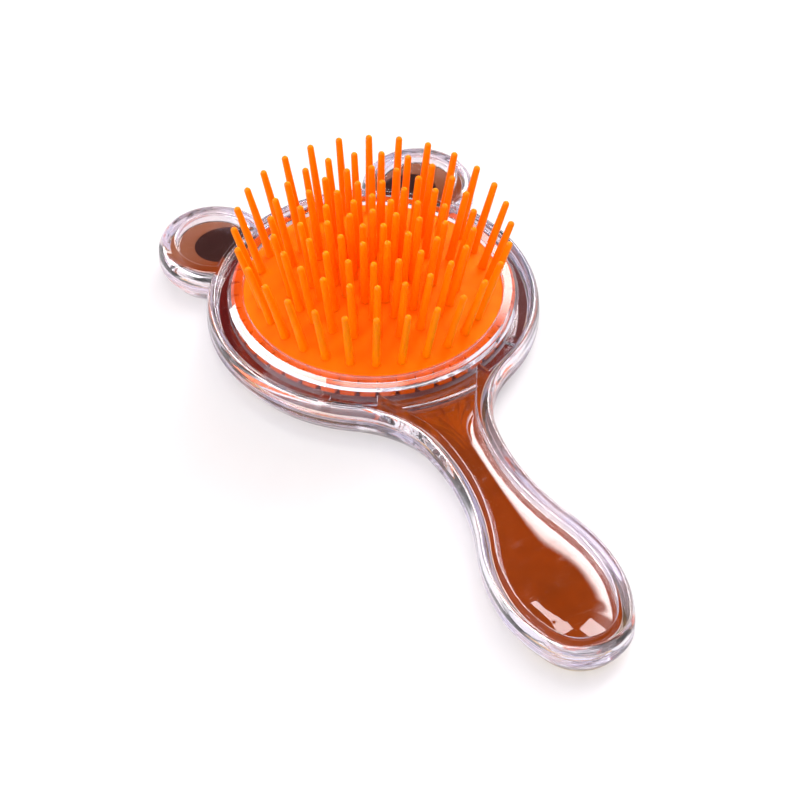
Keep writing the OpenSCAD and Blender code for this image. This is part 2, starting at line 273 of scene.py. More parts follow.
def carve(base, tool, operation="DIFFERENCE"):
    # cuts the tool out of the base, or joins it on, and uses the tool up
    modifier = base.modifiers.new("carve", "BOOLEAN")
    modifier.solver = "MANIFOLD"
    modifier.operation = operation
    modifier.object = tool
    bpy.context.view_layer.update()
    evaluated = base.evaluated_get(bpy.context.evaluated_depsgraph_get())
    mesh = bpy.data.meshes.new_from_object(evaluated)
    base.modifiers.clear()
    base.data = mesh
    bpy.data.objects.remove(tool)
    return base


def cleaned(obj):
    # joins the doubled points that cutting leaves
    bm = bmesh.new()
    bm.from_mesh(obj.data)
    bmesh.ops.remove_doubles(bm, verts=bm.verts, dist=samePoint)
    bm.to_mesh(obj.data)
    bm.free()
    return obj


def bothEars(profile):
    return [revolved("ear", profile, (s * earMiddle.x, earMiddle.y)) for s in (1, -1)]


def planSolid(name, z0, z1, inset):
    # slab in the plan of head, handle and ears
    solid = lofted(name, [(inset, z0), (inset, z1)])
    for ear in bothEars([(0, z0), (earR - inset, z0), (earR - inset, z1), (0, z1)]):
        carve(solid, ear, "UNION")
    return solid


def smooth(obj, angle=32, weighted=True):
    mesh = obj.data
    mesh.polygons.foreach_set("use_smooth", [True] * len(mesh.polygons))
    mesh.set_sharp_from_angle(angle=radians(angle))
    if weighted:
        modifier = obj.modifiers.new("even normals", "WEIGHTED_NORMAL")
        modifier.keep_sharp = True
        modifier.weight = 80
    return obj


def finish(obj, body, slot, material, *nodes):
    # material, body and slot of a piece, and the nodes of the CAD part that it stands for; the slot
    # is not used
    obj.data.materials.clear()
    obj.data.materials.append(material)
    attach(obj, body)
    if nodes:
        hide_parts(*nodes)
    return obj


# materials
def nodeOf(tree, kind, **settings):
    node = tree.nodes.new(kind)
    for name, value in settings.items():
        setattr(node, name, value)
    return node


def fill(node, **values):
    for name, value in values.items():
        node.inputs[name.replace("_", " ")].default_value = value
    return node


def join(tree, start, end):
    tree.links.new(start, end)


def newGroup(name, inputs, outputs):
    # inputs are (label, value), and one without a value is a vector
    group = bpy.data.node_groups.new(name, "ShaderNodeTree")
    for label, value in inputs:
        kind = "NodeSocketVector" if value is None else "NodeSocketFloat"
        socket = group.interface.new_socket(label, in_out="INPUT", socket_type=kind)
        if value is not None:
            socket.default_value = value
    for label in outputs:
        group.interface.new_socket(label, in_out="OUTPUT", socket_type="NodeSocketFloat")
    return group, group.nodes.new("NodeGroupInput"), group.nodes.new("NodeGroupOutput")


def mathNode(tree, operation, a, b=None):
    node = nodeOf(tree, "ShaderNodeMath", operation=operation)
    for socket, value in zip(node.inputs, (a, b)):
        if isinstance(value, (int, float)):
            socket.default_value = value
        elif value is not None:
            join(tree, value, socket)
    return node.outputs[0]


def squareSum(tree, a, b):
    return mathNode(tree, "ADD", mathNode(tree, "MULTIPLY", a, a), mathNode(tree, "MULTIPLY", b, b))


def ramp(tree, value, low, high):
    # from 0 at low to 1 at high
    node = nodeOf(tree, "ShaderNodeMapRange", interpolation_type="SMOOTHSTEP")
    fill(node, From_Min=low, From_Max=high)
    join(tree, value, node.inputs["Value"])
    return node.outputs["Result"]


def fadeOut(tree, value, low, high):
    # from 1 at low to 0 at high
    return mathNode(tree, "SUBTRACT", 1.0, ramp(tree, value, low, high))


def noiseOf(tree, vector, scale, **values):
    node = fill(nodeOf(tree, "ShaderNodeTexNoise"), **values)
    join(tree, vector, node.inputs["Vector"])
    join(tree, scale, node.inputs["Scale"])
    return node.outputs["Fac"]


def mouldedSkin():
    # slow sink waves and fine orange peel of a moulded surface
    group, put, out = newGroup(
        "mouldedSkin",
        [("Vector", None), ("Wave Size", 60.0), ("Peel Size", 900.0), ("Peel Share", 0.2)],
        ["Height", "Shade"])
    vector, waveSize, peelSize, peelShare = list(put.outputs)[:4]
    wave = noiseOf(group, vector, waveSize, Detail=2.0, Roughness=0.5)
    peel = noiseOf(group, vector, peelSize, Detail=3.0, Roughness=0.6)
    fineShare = mathNode(group, "MULTIPLY", peel, peelShare)
    join(group, mathNode(group, "ADD", wave, fineShare), out.inputs["Height"])
    join(group, wave, out.inputs["Shade"])
    return group


def hairlines():
    # fine scratches from handling, in two crossing directions
    group, put, out = newGroup(
        "hairlines", [("Vector", None), ("Scale", 150.0), ("Amount", 0.4)], ["Mask"])
    masks = []
    for turn, stretch in ((0.6, 14.0), (-0.9, 18.0)):
        spin = nodeOf(group, "ShaderNodeMapping")
        fill(spin, Rotation=(0.2, 0.1, turn), Scale=(1.0, stretch, 1.0))
        join(group, put.outputs["Vector"], spin.inputs["Vector"])
        lines = noiseOf(group, spin.outputs["Vector"], put.outputs["Scale"], Detail=1.0)
        masks.append(ramp(group, lines, 0.66, 0.74))
    both = mathNode(group, "MAXIMUM", *masks)
    join(group, mathNode(group, "MULTIPLY", both, put.outputs["Amount"]), out.inputs["Mask"])
    return group


def paperGrain():
    # short fibres and soft mottle of pressed paper
    group, put, out = newGroup(
        "paperGrain", [("Vector", None), ("Fibre Size", 1400.0), ("Mottle Size", 120.0)],
        ["Height", "Shade"])
    vector, fibreSize, mottleSize = list(put.outputs)[:3]
    fibres = noiseOf(group, vector, fibreSize, Detail=4.0, Roughness=0.7, Distortion=1.5)
    mottle = noiseOf(group, vector, mottleSize, Detail=3.0, Roughness=0.55)
    join(group, fibres, out.inputs["Height"])
    half = mathNode(group, "MULTIPLY", fibres, 0.4)
    rest = mathNode(group, "MULTIPLY", mottle, 0.6)
    join(group, mathNode(group, "ADD", half, rest), out.inputs["Shade"])
    return group


skinGroup = mouldedSkin()
lineGroup = hairlines()
grainGroup = paperGrain()


def newMaterial(name):
    material = bpy.data.materials.new(name)
    material.use_nodes = True
    tree = material.node_tree
    tree.nodes.clear()
    shader = tree.nodes.new("ShaderNodeBsdfPrincipled")
    out = tree.nodes.new("ShaderNodeOutputMaterial")
    join(tree, shader.outputs["BSDF"], out.inputs["Surface"])
    coordinate = tree.nodes.new("ShaderNodeTexCoord").outputs["Object"]
    return material, tree, shader, coordinate


def useGroup(tree, group, coordinate, **values):
    node = nodeOf(tree, "ShaderNodeGroup", node_tree=group)
    join(tree, coordinate, node.inputs["Vector"])
    return fill(node, **values)


def mixColours(tree, share, one, two):
    node = nodeOf(tree, "ShaderNodeMix", data_type="RGBA")
    # sockets 0, 6 and 7 are the factor and the two colours
    for socket, value in ((node.inputs[0], share), (node.inputs[6], one), (node.inputs[7], two)):
        if isinstance(value, tuple):
            socket.default_value = (*value, 1)
        else:
            join(tree, value, socket)
    return node.outputs[2]


def colourBy(tree, shader, share, one, two):
    join(tree, mixColours(tree, share, one, two), shader.inputs["Base Color"])


def roughen(tree, shader, value, amount, least=None):
    rough = mathNode(tree, "MULTIPLY", value, amount)
    if least is not None:
        rough = mathNode(tree, "ADD", rough, least)
    join(tree, rough, shader.inputs["Roughness"])


def bump(tree, shader, height, relief, strength):
    # relief is in millimetres
    node = fill(nodeOf(tree, "ShaderNodeBump"), Strength=strength, Distance=relief * mm)
    join(tree, height, node.inputs["Height"])
    join(tree, node.outputs["Normal"], shader.inputs["Normal"])


def letLampsThrough(tree, shader, colour):
    # shadow rays see a plain tint where all other rays see the glassy body
    through = fill(nodeOf(tree, "ShaderNodeBsdfTransparent"), Color=(*colour, 1))
    path = nodeOf(tree, "ShaderNodeLightPath")
    both = nodeOf(tree, "ShaderNodeMixShader")
    join(tree, path.outputs["Is Shadow Ray"], both.inputs[0])
    join(tree, shader.outputs["BSDF"], both.inputs[1])
    join(tree, through.outputs["BSDF"], both.inputs[2])
    join(tree, both.outputs["Shader"], tree.nodes["Material Output"].inputs["Surface"])


def clearPlastic():
    look = {
        "lavender": (0.88, 0.87, 0.99), "rose": (0.97, 0.9, 0.92), "ior": 1.58,
        "scratch": 0.25, "polish": 0.015, "shadow": (0.8, 0.78, 0.8),
        "linerShine": (0.99, 0.84, 0.5), "linerShineUp": (1.8, 3.6), "linerShineAlong": (8, 22),
    }
    material, tree, shader, coordinate = newMaterial("clear_plastic")
    skin = useGroup(tree, skinGroup, coordinate, Wave_Size=70.0, Peel_Size=420.0, Peel_Share=0.05)
    lines = useGroup(tree, lineGroup, coordinate, Scale=140.0, Amount=0.5)
    cool = ramp(tree, skin.outputs["Shade"], 0.35, 0.65)
    tint = mixColours(tree, cool, look["lavender"], look["rose"])
    # painted light: an amber tint on the foot of the wall at the handle's end stands in for the
    # yellow liner shining through it
    split = nodeOf(tree, "ShaderNodeSeparateXYZ")
    join(tree, coordinate, split.inputs["Vector"])
    foot = fadeOut(tree, split.outputs["Z"], *[z * mm for z in look["linerShineUp"]])
    fromEnd = [(headY - endY + y) * mm for y in look["linerShineAlong"]]
    endward = fadeOut(tree, split.outputs["Y"], *fromEnd)
    colourBy(tree, shader, mathNode(tree, "MULTIPLY", foot, endward), tint, look["linerShine"])
    roughen(tree, shader, lines.outputs["Mask"], look["scratch"], look["polish"])
    fill(shader, IOR=look["ior"], Transmission_Weight=1.0)
    bump(tree, shader, skin.outputs["Height"], 0.06, 0.5)
    letLampsThrough(tree, shader, look["shadow"])
    return material


def orangeRubber(name, look):
    material, tree, shader, coordinate = newMaterial(name)
    skin = useGroup(tree, skinGroup, coordinate, Wave_Size=90.0, Peel_Size=1600.0, Peel_Share=0.5)
    shade = ramp(tree, skin.outputs["Shade"], 0.3, 0.7)
    colourBy(tree, shader, shade, look["colour"], look["deep"])
    roughen(tree, shader, skin.outputs["Shade"], 0.12, look["roughness"])
    fill(shader, Subsurface_Weight=look["soft"], Subsurface_Scale=look["depth"] * mm,
         Subsurface_Radius=look["reach"], Specular_IOR_Level=look["shine"])
    bump(tree, shader, skin.outputs["Height"], 0.03, 0.6)
    return material


def printedCard():
    look = {
        "brown": (0.2, 0.034, 0.003), "brownDark": (0.16, 0.026, 0.002),
        "brownLight": (0.21, 0.078, 0.036), "lightFrom": (24, 34),
        # the ring colour is painted shade on the card under the channel
        "ring": (0.09, 0.008, 0.006), "shadeRingEdge": (1.6, 1.2), "shadeRingSide": 0.2,
        "oval": (0.035, 0.014, 0.011), "ovalAcross": 7.2, "ovalUp": 6.0,
        "ovalOff": (-2.5, 0.5), "bare": (0.72, 0.66, 0.56),
    }
    material, tree, shader, coordinate = newMaterial("printed_card")
    grain = useGroup(tree, grainGroup, coordinate, Fibre_Size=900.0, Mottle_Size=90.0)
    split = nodeOf(tree, "ShaderNodeSeparateXYZ")
    join(tree, coordinate, split.inputs["Vector"])
    x, y = split.outputs["X"], split.outputs["Y"]
    aside = mathNode(tree, "ABSOLUTE", x)
    mottle = ramp(tree, grain.outputs["Shade"], 0.3, 0.7)
    ink = mixColours(tree, mottle, look["brownDark"], look["brown"])
    # the print is paler towards the ears
    earward = ramp(tree, y, *[(headY + d) * mm for d in look["lightFrom"]])
    ink = mixColours(tree, earward, ink, look["brownLight"])
    # painted shade: a dark red ring round the head, open towards the handle, darkens the print
    # under the channel, where the collar and the rim keep the light off
    away = mathNode(tree, "SUBTRACT", y, headY * mm)
    reach = mathNode(tree, "SQRT", squareSum(tree, x, away))
    inShadeRing = fadeOut(tree, reach, *[(headR - d) * mm for d in look["shadeRingEdge"]])
    slope = mathNode(tree, "MULTIPLY", aside, 1 / tan(radians(mouthAngle)))
    side = look["shadeRingSide"] * mm
    outside = ramp(tree, mathNode(tree, "ADD", slope, away), -side, side)
    ink = mixColours(tree, mathNode(tree, "MULTIPLY", inShadeRing, outside), ink, look["ring"])
    # dark oval in each ear, low towards the head
    oval = Vector((earMiddle.x + look["ovalOff"][0], earMiddle.y + look["ovalOff"][1] + headY))
    across = mathNode(tree, "SUBTRACT", aside, oval.x * mm)
    up = mathNode(tree, "SUBTRACT", y, oval.y * mm)
    across = mathNode(tree, "DIVIDE", across, look["ovalAcross"] * mm)
    up = mathNode(tree, "DIVIDE", up, look["ovalUp"] * mm)
    inner = fadeOut(tree, squareSum(tree, across, up), 0.96, 1.04)
    printed = mixColours(tree, inner, ink, look["oval"])
    # bare paper on the cut edges and on the back
    facing = nodeOf(tree, "ShaderNodeSeparateXYZ")
    join(tree, nodeOf(tree, "ShaderNodeNewGeometry").outputs["Normal"], facing.inputs["Vector"])
    colourBy(tree, shader, ramp(tree, facing.outputs["Z"], 0.4, 0.6), look["bare"], printed)
    roughen(tree, shader, grain.outputs["Shade"], 0.25, 0.5)
    fill(shader, Specular_IOR_Level=0.0)
    bump(tree, shader, grain.outputs["Height"], 0.02, 0.7)
    return material


def plainPaper(name, look):
    material, tree, shader, coordinate = newMaterial(name)
    grain = useGroup(tree, grainGroup, coordinate, Fibre_Size=1100.0, Mottle_Size=70.0)
    shade = ramp(tree, grain.outputs["Shade"], 0.35, 0.65)
    colourBy(tree, shader, shade, look["colour"], look["deep"])
    roughen(tree, shader, grain.outputs["Height"], 0.15, look["roughness"])
    bump(tree, shader, grain.outputs["Height"], 0.04, 0.8)
    return material


def mouldedPlastic(name, look):
    material, tree, shader, coordinate = newMaterial(name)
    skin = useGroup(tree, skinGroup, coordinate, Wave_Size=60.0, Peel_Size=1200.0, Peel_Share=0.4)
    shade = ramp(tree, skin.outputs["Shade"], 0.3, 0.7)
    colourBy(tree, shader, shade, look["colour"], look["deep"])
    roughen(tree, shader, skin.outputs["Shade"], 0.15, look["roughness"])
    bump(tree, shader, skin.outputs["Height"], 0.03, 0.5)
    return material


def mirrorGlass():
    look = {"glass": (0.93, 0.98, 0.95), "scratch": (0.85, 0.9, 0.88), "ior": 1.52}
    material, tree, shader, coordinate = newMaterial("mirror_glass")
    lines = useGroup(tree, lineGroup, coordinate, Scale=110.0, Amount=0.6)
    colourBy(tree, shader, lines.outputs["Mask"], look["glass"], look["scratch"])
    roughen(tree, shader, lines.outputs["Mask"], 0.15)
    fill(shader, IOR=look["ior"], Transmission_Weight=1.0)
    letLampsThrough(tree, shader, (1, 1, 1))
    return material


def silverCoat():
    look = {"silver": (0.86, 0.87, 0.87), "pale": (0.9, 0.9, 0.91)}
    material, tree, shader, coordinate = newMaterial("mirror_silver")
    skin = useGroup(tree, skinGroup, coordinate, Wave_Size=40.0, Peel_Size=500.0, Peel_Share=0.2)
    shade = ramp(tree, skin.outputs["Shade"], 0.3, 0.7)
    colourBy(tree, shader, shade, look["silver"], look["pale"])
    roughen(tree, shader, skin.outputs["Shade"], 0.04)
    fill(shader, Metallic=1.0)
    return material


# heights, and the steps between walls that fit into each other
height = {
    "rimTop": 9.5, "parting": 4.4, "upright": 1.9, "windowDepth": 2.1, "plate": 1.7,
    "collarRise": 2.6, "lip": 1.4, "flange": 2.4, "crownRise": 3.8, "backWindow": 1.1,
    "card": 0.6, "liner": 0.4, "mirror": 1.2, "tape": 0.3, "mirrorRecess": 0.3,
}
wall = {"bore": 1.0, "side": 1.8, "tongueGap": 0.1, "tongue": 0.8, "mirrorIn": 7}
rimTop = height["rimTop"]
parting = height["parting"]
windowZ = rimTop - height["windowDepth"]
plateZ = windowZ - height["plate"]
collarTop = rimTop + height["collarRise"]
lipZ = collarTop - height["lip"]
flangeZ = lipZ - height["flange"]
shoulderZ = parting + height["upright"]
boreR = collarR - wall["bore"]
tongueInset = wall["side"] + wall["tongueGap"]
spaceInset = tongueInset + wall["tongue"]
mirrorR = headR - wall["mirrorIn"]
mirrorBack = height["mirrorRecess"] + height["mirror"]
pocketZ = mirrorBack + height["tape"]
seatGap = 0.05  # between faces that rest on each other
fitGap = 0.2  # round a piece that drops into its place
over = 1.0  # how far cutting tools stand out


def smoothStep(low, high, value):
    share = min(1, max(0, (value - low) / (high - low)))
    return share * share * (3 - 2 * share)


pillow = {
    "crown": 1.4, "rings": 14, "reach": 1.02, "sink": 0.015, "skirt": 0.6, "fromHead": 2.5,
    "riseRun": 16, "tailIn": 9, "power": 2, "flatter": 3, "bellyRun": 14, "tailRun": (6, 5),
}


def windowPillow(base):
    # the handle window's face swells towards its middle line: rings of the window's edge are
    # drawn in to that line
    rim = [p for p in windowOutline(plan["handleRimW"]) if p.y < -headR + pillow["fromHead"]]
    tail = endY - plan["handleRimW"] - pillow["tailIn"]
    tailFrom, tailTo = tail - pillow["tailRun"][0], tail + pillow["tailRun"][1]
    rings = []
    for k in range(pillow["rings"] + 1):
        t = pillow["reach"] * (1 - k / pillow["rings"])
        ring = []
        for p in rim:
            spine = Vector((0, max(p.y, -tail)))
            q = spine + (p - spine) * t
            # flatter across the belly than in the neck and at the tail
            flat = pillow["flatter"] * smoothStep(bellyY - pillow["bellyRun"], bellyY, -p.y)
            power = pillow["power"] + flat * (1 - smoothStep(tailFrom, tailTo, -p.y))
            rise = pillow["crown"] * smoothStep(headR, headR + pillow["riseRun"], -q.y)
            ring.append(Vector((q.x, q.y, base - pillow["sink"] + rise * (1 - t ** power))))
        rings.append(ring)
    bm = bmesh.new()
    verts = [[bm.verts.new(place(*p)) for p in ring] for ring in rings]
    floor = [bm.verts.new(place(p.x, p.y, base - pillow["skirt"])) for p in rings[0]]
    stitch(bm, [floor] + verts)
    bm.faces.new(list(reversed(floor)))
    bmesh.ops.remove_doubles(bm, verts=bm.verts, dist=10 * samePoint)
    bmesh.ops.dissolve_degenerate(bm, edges=bm.edges, dist=samePoint)
    return toObject("window_pillow", bm)


def mouthSector(low, high, turn):
    # sector about the handle's axis; its sides draw in round the rim's top edge by turn
    levels = [(low, 0)]
    if turn:
        for a in range(0, 91, 18):
            levels.append((rimTop - turn + turn * sin(radians(a)), turn * (1 - cos(radians(a)))))
    levels.append((high, turn))
    bm = bmesh.new()
    rings = []
    for z, inset in levels:
        half = mouthAngle - degrees(inset / channelR)
        spread = [half * k / 4 for k in range(-4, 5)]
        far = [2 * headR * Vector((sin(radians(a)), -cos(radians(a)))) for a in spread]
        rings.append([bm.verts.new(place(p.x, p.y, z)) for p in [Vector((0, 0))] + far])
    return capped("mouth_sector", bm, rings)


front = {
    "weld": 0.02, "edge": 1.4, "earEdge": 2.2, "earTop": 0.95, "earFoot": 0.4, "earIn": 1.5,
    "channelFoot": 0.35, "boreEdge": 0.2, "rebate": 0.9, "rimEdge": 0.5,
    # inner edges as (outwards, up): the channel's from the rim's top, the window's from its floor
    "channelTop": [(0, -0.5), (0.04, -0.31), (0.15, -0.15), (0.31, -0.04), (0.5, 0)],
    "windowFoot": [(0.4, 0), (0.15, 0.08), (0.03, 0.22), (0, 0.45)],
}
collar = {"slopeRun": 1.5, "slopeDrop": 0.28, "slantDrop": 1.78, "foot": 0.5, "backIn": 0.4,
          "lipEdge": 0.15, "innerEdge": 0.2, "ridge": 0.1, "outerEdge": 0.15}
web = {"across": 2.2, "sunk": 0.5, "angle": 42, "edge": 0.66}
mouthLip = {"wide": 1.5, "up": 1.5, "sunk": 0.5, "outerEdge": 0.5, "innerEdge": 0.3}


def frontEdge(width, steps=9):
    # rounded edge between the upright side and the rim's top, as (inset, height)
    out = []
    for i in range(steps + 1):
        t = sin(radians(90 * i / steps))
        out.append((width * (1 - sqrt(max(0, 1 - t * t))), shoulderZ + (rimTop - shoulderZ) * t))
    return out


def frontShell():
    # the two housings overlap by a hair, as if welded, so that light passes from one to the other
    weld = parting - front["weld"]
    shell = lofted("front_housing", [(0, weld)] + frontEdge(front["edge"]))
    edge = front["rimEdge"]
    channel = revolved("channel", rounded(
        [(0, windowZ), (channelR, windowZ, front["channelFoot"])]
        + [(channelR + d, rimTop + z) for d, z in front["channelTop"]]
        + [(channelR + edge, rimTop + over), (0, rimTop + over)]))
    carve(channel, mouthSector(0, rimTop + 2 * over, edge))
    carve(shell, channel)
    w = plan["handleRimW"]
    lead = [(w + d, windowZ + z) for d, z in front["windowFoot"]]
    for a in range(0, 91, 15):
        lead.append((w - edge * (1 - cos(radians(a))), rimTop - edge + edge * sin(radians(a))))
    carve(shell, lofted("window", lead + [(w - edge, rimTop + over)], windowOutline))
    carve(shell, windowPillow(windowZ), "UNION")
    wr = plan["earWindowR"]
    headIn = headR - front["earIn"]
    ears = bothEars(rounded(
        [(0, weld), (earR, weld)] + [(earR - d, z) for d, z in frontEdge(front["earEdge"])]
        + [(wr, rimTop, front["earTop"]), (wr, windowZ, front["earFoot"]), (0, windowZ)]))
    for ear in ears:
        carve(ear, revolved("head", [(0, -over), (headIn, -over), (headIn, 3 * rimTop),
                                     (0, 3 * rimTop)]))
        carve(shell, ear, "UNION")
    # the collar's top slopes outwards and ends in a slanted edge
    footZ = plateZ + collar["foot"]
    backR = boreR - collar["backIn"]
    carve(shell, revolved("collar", rounded([
        (openingR, lipZ, collar["lipEdge"]), (openingR, collarTop, collar["innerEdge"]),
        (collarR - collar["slopeRun"], collarTop - collar["slopeDrop"], collar["ridge"]),
        (collarR, collarTop - collar["slantDrop"], collar["outerEdge"]), (collarR, footZ),
        (backR, footZ), (backR, lipZ)])), "UNION")
    webSize = (plan["channelW"] + 2 * web["sunk"], web["across"],
               web["sunk"] + height["windowDepth"] / 2)
    webCorner = (collarR - web["sunk"], -web["across"] / 2, windowZ - web["sunk"])
    for s in (-1, 1):
        carve(shell, block("web", webSize, webCorner, s * web["angle"], web["edge"]), "UNION")
    lipOut = channelR + mouthLip["wide"]
    lipLow, lipHigh = windowZ - mouthLip["sunk"], windowZ + mouthLip["up"]
    lip = revolved("mouth_lip", rounded([
        (channelR, lipLow), (lipOut, lipLow), (lipOut, lipHigh, mouthLip["outerEdge"]),
        (channelR, lipHigh, mouthLip["innerEdge"])]))
    carve(shell, carve(lip, mouthSector(0, 3 * rimTop, 0), "INTERSECT"), "UNION")
    bore = [(0, 0), (boreR, 0), (boreR, lipZ, front["boreEdge"]), (0, lipZ)]
    carve(shell, revolved("bore", rounded(bore)))
    # the handle's wall is equally thick under its swell
    carve(shell, planSolid("space", parting - over, plateZ, spaceInset))
    carve(shell, windowPillow(plateZ))
    carve(shell, planSolid("rebate", parting - over, parting + front["rebate"], wall["side"]))
    return cleaned(shell)


back = {"tuck": 2.6, "power": 1.3, "steps": 9, "tongueDown": 0.5, "tongueUp": 0.8,
        "pocketEdge": 0.3, "pocketRim": 2.6, "windowIn": 5.2}


def backEdge():
    # the back draws in towards the rest face, as (inset, height)
    out = []
    for i in range(back["steps"] + 1):
        t = 1 - i / back["steps"]
        out.append((back["tuck"] * t ** back["power"], parting * (1 - t)))
    return out


def backShell():
    shell = lofted("back_housing", backEdge())
    for ear in bothEars([(0, 0)] + [(earR - d, z) for d, z in backEdge()] + [(0, parting)]):
        carve(shell, ear, "UNION")
    tongueTop = parting + back["tongueUp"]
    tongue = planSolid("tongue", parting - back["tongueDown"], tongueTop, tongueInset)
    carve(shell, tongue, "UNION")
    carve(shell, planSolid("space", parting, parting + 2 * over, spaceInset))
    pocketR = mirrorR + fitGap
    mouthR = pocketR + back["pocketEdge"]
    carve(shell, revolved("pocket", [(0, -over), (mouthR, -over), (mouthR, 0),
                                     (pocketR, back["pocketEdge"]), (pocketR, pocketZ),
                                     (0, pocketZ)]))
    windows = planSolid("windows", -over, height["backWindow"], back["windowIn"])
    keepR = pocketR + back["pocketRim"]
    low, high = -3 * over, height["backWindow"] + 3 * over
    carve(windows, revolved("keep", [(0, low), (keepR, low), (keepR, high), (0, high)]))
    carve(shell, windows)
    return shell


# camera, light and floor first, in metres
view = {"target": (-0.00872, 0.00271, 0.0095), "back": (-0.2948, -0.6593, 0.6917),
        "distance": 0.9, "lens": 180.36, "sensor": 36, "nearest": 0.01}


def setCamera():
    data = bpy.data.cameras.new("camera")
    data.lens = view["lens"]
    data.sensor_width = view["sensor"]
    data.clip_start = view["nearest"]
    camera = bpy.data.objects.new("camera", data)
    bpy.context.scene.collection.objects.link(camera)
    away = Vector(view["back"]).normalized()
    camera.location = Vector(view["target"]) + away * view["distance"]
    camera.rotation_euler = away.to_track_quat("Z", "Y").to_euler()
    bpy.context.scene.camera = camera


# each lamp: azimuth from +Y towards +X, elevation, distance, size, radiance (1 looks as bright as
# white paper), colour, and how much of its width fades towards the edge
lampTable = {
    "key": (52, 33, 1.1, (0.82, 0.6), 13.0, (1.0, 0.985, 0.99), 0.27),
    "left top": (-4, 66, 1.2, (0.27, 0.36), 10.0, (1.0, 0.95, 0.96), 0),
    "right top": (62, 66, 1.2, (0.3, 0.36), 10.0, (1.0, 0.95, 0.96), 0),
    "side": (-88, 32, 1.3, (1.5, 0.55), 2.4, (1.0, 0.97, 0.98), 0.15),
    "front": (207, 46, 1.5, (1.3, 0.8), 5.2, (1.0, 1.0, 1.0), 0.25),
    "strip": (-88, 33, 1.28, (1.7, 0.62), 12.0, (1.0, 0.98, 1.0), 0),
    "low strip": (-45, 17, 1.27, (0.85, 0.5), 12.0, (1.0, 0.98, 1.0), 0),
}
onlyReflected = ("strip", "low strip")


def addLamp(name, azimuth, elevation, distance, size, radiance, colour, fade):
    data = bpy.data.lights.new(name, "AREA")
    data.shape = "RECTANGLE"
    data.size, data.size_y = size
    data.energy = radiance * size[0] * size[1] * pi
    data.color = colour
    lamp = bpy.data.objects.new(name, data)
    bpy.context.scene.collection.objects.link(lamp)
    a, e = radians(azimuth), radians(elevation)
    toward = Vector((sin(a) * cos(e), cos(a) * cos(e), sin(e)))
    lamp.location = toward * distance
    lamp.rotation_euler = toward.to_track_quat("Z", "Y").to_euler()
    lamp.visible_diffuse = name not in onlyReflected
    # what is seen through the clear walls is the plain white studio, not the lamps
    lamp.visible_transmission = False
    if fade:
        data.use_nodes = True
        tree = data.node_tree
        split = nodeOf(tree, "ShaderNodeSeparateXYZ")
        across = nodeOf(tree, "ShaderNodeNewGeometry").outputs["Parametric"]
        join(tree, across, split.inputs["Vector"])
        share = 1.0
        for axis in ("X", "Y"):
            off = mathNode(tree, "SUBTRACT", split.outputs[axis], 0.5)
            off = mathNode(tree, "ABSOLUTE", off)
            near = ramp(tree, mathNode(tree, "SUBTRACT", 0.5, off), 0.0, fade)
            share = mathNode(tree, "MULTIPLY", share, near)
        join(tree, share, tree.nodes["Emission"].inputs["Strength"])


studio = {
    "white": (1.0, 0.985, 0.99), "through": 1.1, "mirrored": 0.8, "diffuse": 0.42,
    "curtain": (-0.098, 0.7, 0.707), "curtainEdge": (0.72, 0.84), "curtainDark": 0.02,
    "floor": (0.56, 0.55, 0.555), "floorLift": 0.22, "floorSeen": 0.06, "floorDown": 0.0001,
    "floorSize": 4,
}


def setWorld():
    world = bpy.data.worlds.new("studio")
    bpy.context.scene.world = world
    world.use_nodes = True
    tree = world.node_tree
    tree.nodes.clear()
    path = tree.nodes.new("ShaderNodeLightPath")
    # the studio is white all round but for a dark curtain high behind the table
    curtain = nodeOf(tree, "ShaderNodeVectorMath", operation="DOT_PRODUCT")
    join(tree, tree.nodes.new("ShaderNodeTexCoord").outputs["Generated"], curtain.inputs[0])
    curtain.inputs[1].default_value = studio["curtain"]
    bright = fadeOut(tree, curtain.outputs["Value"], *studio["curtainEdge"])
    seen = mathNode(tree, "MULTIPLY", bright, studio["through"])
    seen = mathNode(tree, "ADD", seen, studio["curtainDark"])
    shares = {
        "Is Transmission Ray": seen, "Is Camera Ray": 1.0, "Is Diffuse Ray": studio["diffuse"],
        "Is Glossy Ray": mathNode(tree, "MULTIPLY", seen, studio["mirrored"]),
    }
    amount = 0.0
    for ray, share in shares.items():
        lit = mathNode(tree, "MULTIPLY", path.outputs[ray], share)
        amount = mathNode(tree, "MAXIMUM", amount, lit)
    background = tree.nodes.new("ShaderNodeBackground")
    fill(background, Color=(*studio["white"], 1))
    out = tree.nodes.new("ShaderNodeOutputWorld")
    join(tree, amount, background.inputs["Strength"])
    join(tree, background.outputs["Background"], out.inputs["Surface"])


def setFloor():
    bm = bmesh.new()
    bmesh.ops.create_grid(bm, x_segments=8, y_segments=8, size=studio["floorSize"])
    bm.transform(Matrix.Translation((0, 0, -studio["floorDown"])))
    floor = toObject("floor", bm)
    material = bpy.data.materials.new("floor")
    material.use_nodes = True
    tree = material.node_tree
    shader = tree.nodes["Principled BSDF"]
    fill(shader, Base_Color=(*studio["floor"], 1), Roughness=0.7, Specular_IOR_Level=0.1,
         Emission_Color=(1, 1, 1, 1))
    path = tree.nodes.new("ShaderNodeLightPath")
    inside = mathNode(tree, "MAXIMUM", path.outputs["Is Transmission Ray"],
                      path.outputs["Is Glossy Ray"])
    inside = mathNode(tree, "MULTIPLY", inside, studio["floorSeen"])
    lift = mathNode(tree, "MULTIPLY", path.outputs["Is Camera Ray"], studio["floorLift"])
    join(tree, mathNode(tree, "ADD", lift, inside), shader.inputs["Emission Strength"])
    floor.data.materials.append(material)


scene = bpy.context.scene
scene.view_settings.view_transform = "Standard"
# light goes through many walls of the clear housing
scene.cycles.max_bounces = 32
scene.cycles.transmission_bounces = 32
scene.cycles.glossy_bounces = 24
setCamera()
for name, values in lampTable.items():
    addLamp(name, *values)
setWorld()
setFloor()
print("camera, light and floor are set")

